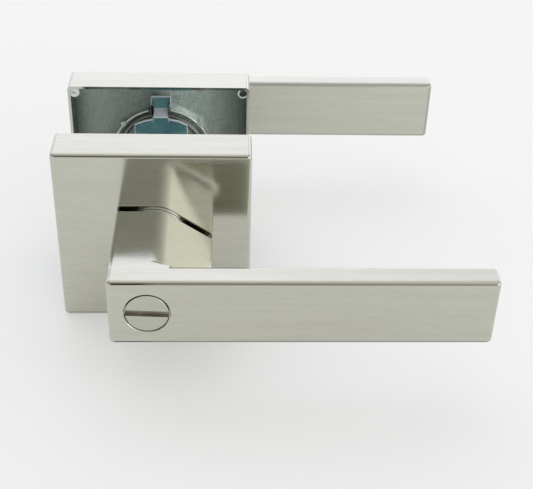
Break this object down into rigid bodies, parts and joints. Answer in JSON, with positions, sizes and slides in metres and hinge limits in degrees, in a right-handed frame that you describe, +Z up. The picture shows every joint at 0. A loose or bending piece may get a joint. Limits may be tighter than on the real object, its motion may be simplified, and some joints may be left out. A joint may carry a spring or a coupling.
{
  "type": "door lever handle",
  "caption": "Privacy door lever set: square roses, flat straight levers on both sides, coin-slot release outside and thumb turn inside.",
  "frame": {"origin": "on the spindle's axis, at the middle of the door's thickness", "axes": "+X from the spindle towards the levers' tips, +Y through the door from the outside (coin slot) to the inside (thumb turn), +Z up"},
  "size_m": [0.1428, 0.1521, 0.066],
  "materials": {
    "satin_nickel": "satin nickel plate, fine horizontal brushing",
    "cast_nickel": "nickel-plated zinc, turned",
    "zinc_plated_steel": "bluish zinc plating on pressed steel",
    "spring_steel": "oiled spring steel",
    "blackened_steel": "blackened",
    "white_nylon": "moulded nylon"
  },
  "bodies": {
    "door_set": {"outside_rose": "satin_nickel", "inside_rose": "satin_nickel", "outside_bush": "white_nylon", "inside_bush": "white_nylon", "outside_spring_plate": "zinc_plated_steel", "inside_spring_plate": "zinc_plated_steel", "outside_return_spring": "spring_steel", "inside_return_spring": "spring_steel", "post_left": "zinc_plated_steel", "post_right": "zinc_plated_steel", "through_bolt_left": "satin_nickel", "through_bolt_right": "satin_nickel"},
    "levers": {"outside_lever": "satin_nickel", "inside_lever": "satin_nickel", "outside_hub": "cast_nickel", "inside_hub": "cast_nickel", "outside_set_screw": "blackened_steel", "inside_set_screw": "blackened_steel", "outside_washer": "zinc_plated_steel", "inside_washer": "zinc_plated_steel", "outside_circlip": "spring_steel", "inside_circlip": "spring_steel", "spindle": "zinc_plated_steel"},
    "privacy": {"release_disc": "satin_nickel", "turn_button": "satin_nickel", "release_disc_clip": "spring_steel", "turn_button_clip": "spring_steel", "lock_rod": "spring_steel"}
  },
  "joints": [
    {"name": "lever_turn", "type": "hinge", "parent": "door_set", "child": "levers", "pos_m": [0, 0, 0], "axis": [0, 1, 0], "range_deg": [-45, 45], "stiffness_Nm_per_rad": 1.5, "springref_deg": -6.88, "deforming": ["outside_return_spring", "inside_return_spring"]},
    {"name": "privacy_turn", "type": "hinge", "parent": "levers", "child": "privacy", "pos_m": [0, 0, 0], "axis": [0, 1, 0], "range_deg": [0, 90]}
  ]
}
